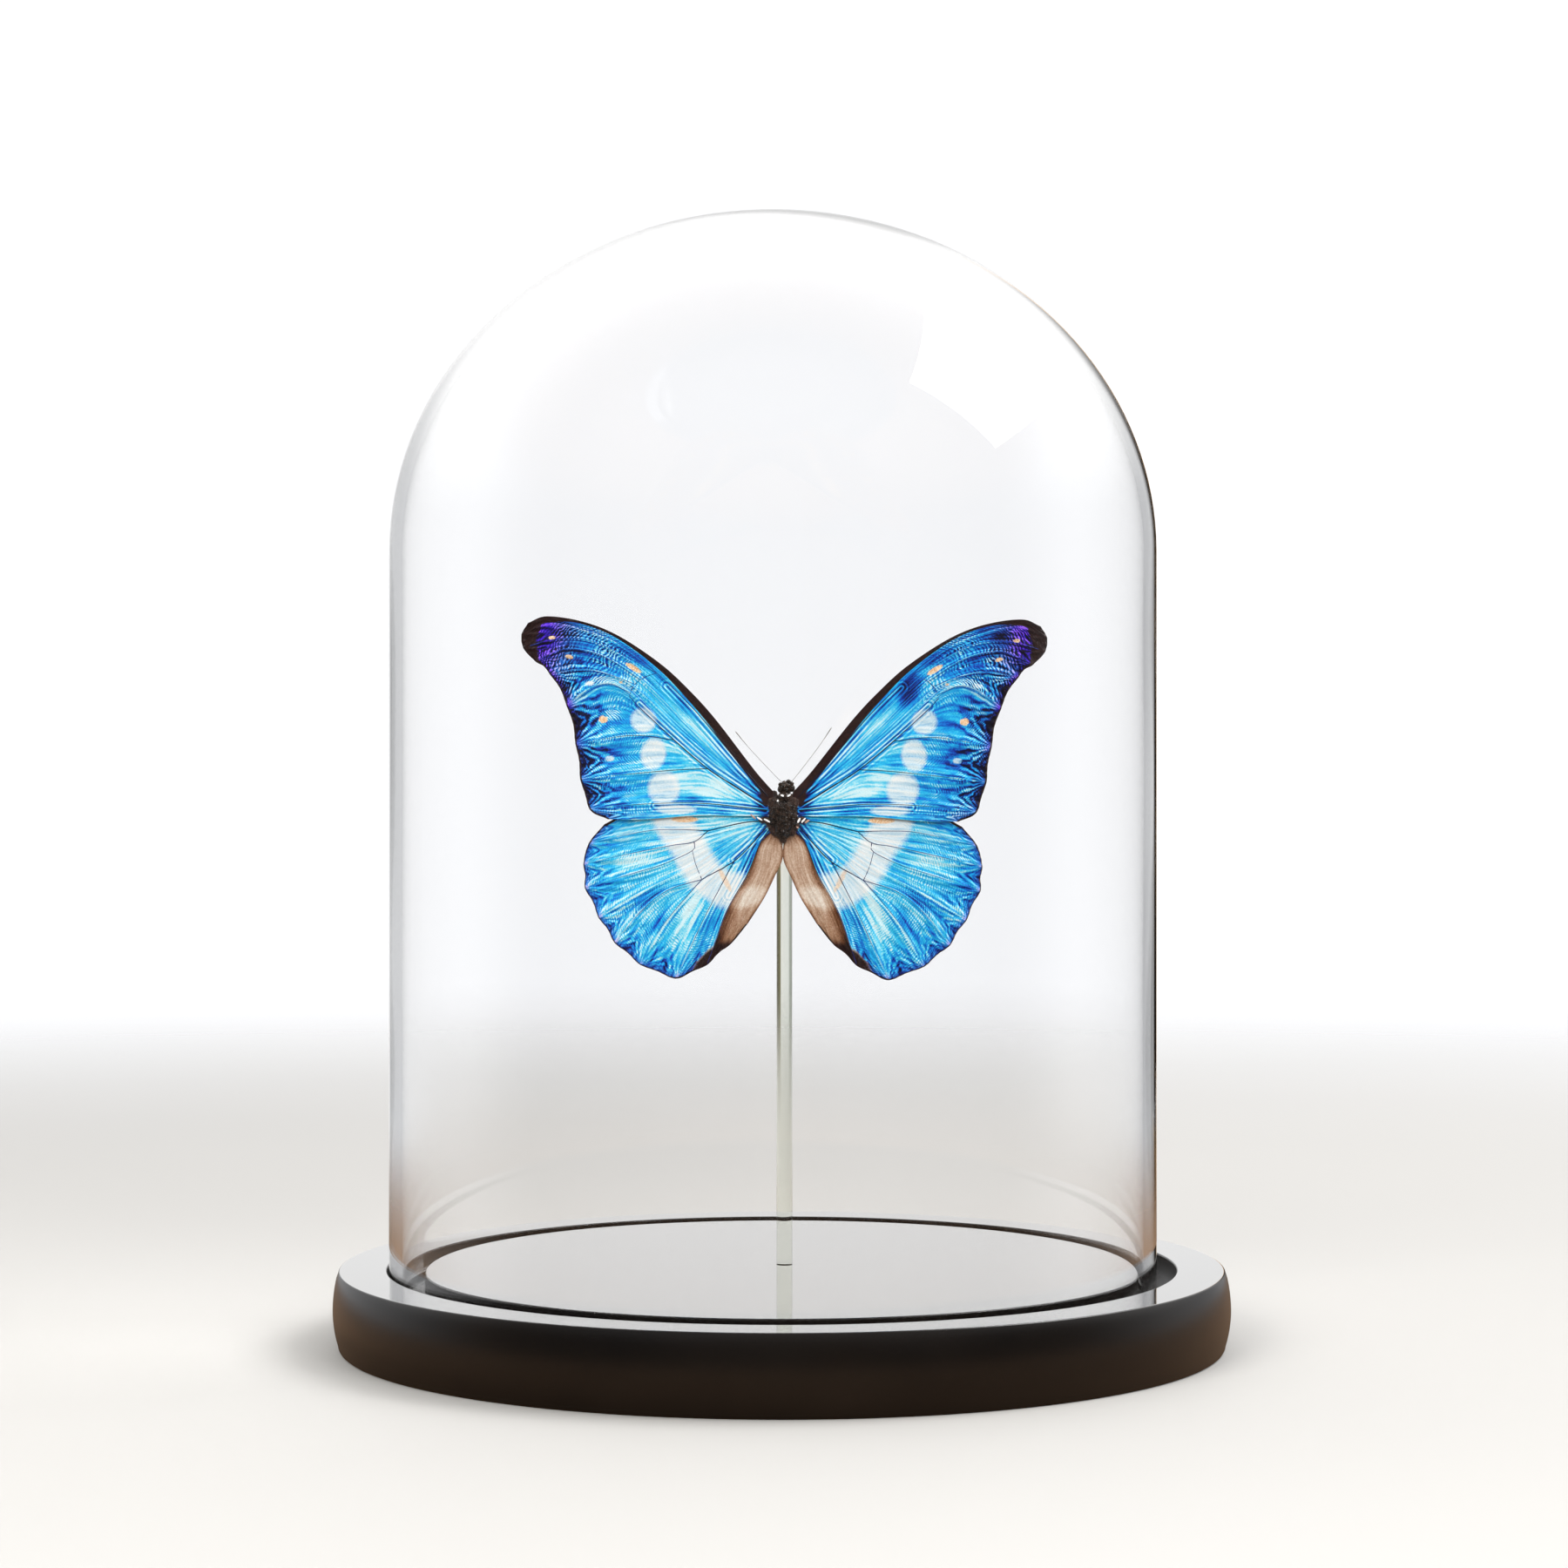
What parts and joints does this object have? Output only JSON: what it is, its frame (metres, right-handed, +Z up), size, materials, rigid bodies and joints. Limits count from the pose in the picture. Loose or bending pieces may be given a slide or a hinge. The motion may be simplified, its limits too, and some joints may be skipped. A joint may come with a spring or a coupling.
{
  "type": "insect in glass dome",
  "caption": "Blue butterfly with spread wings, held on a clear rod under a glass dome that stands in the groove of a round black turned base.",
  "frame": {"origin": "centre of the base's underside, on the surface it stands on", "axes": "+Z up along the base's turning axis; -Y the side that shows the insect's back; +X to that viewer's right"},
  "size_m": [0.2102, 0.2102, 0.2655],
  "materials": {
    "base_lacquer": "satin black lacquer on turned wood",
    "dome_glass": "clear blown glass, polished",
    "rod_acrylic": "clear cast acrylic, polished",
    "body_chitin": "dry black insect cuticle with short hair",
    "wing_scales": "iridescent blue wing scales on a dry membrane",
    "antenna_chitin": "dry dark insect cuticle"
  },
  "bodies": {
    "root": {"base": "base_lacquer", "glass_dome": "dome_glass", "rod": "rod_acrylic", "thorax": "body_chitin", "head": "body_chitin", "forewing_left": "wing_scales", "forewing_right": "wing_scales", "hindwing_left": "wing_scales", "hindwing_right": "wing_scales", "antenna_left": "antenna_chitin", "antenna_right": "antenna_chitin"}
  },
  "joints": []
}
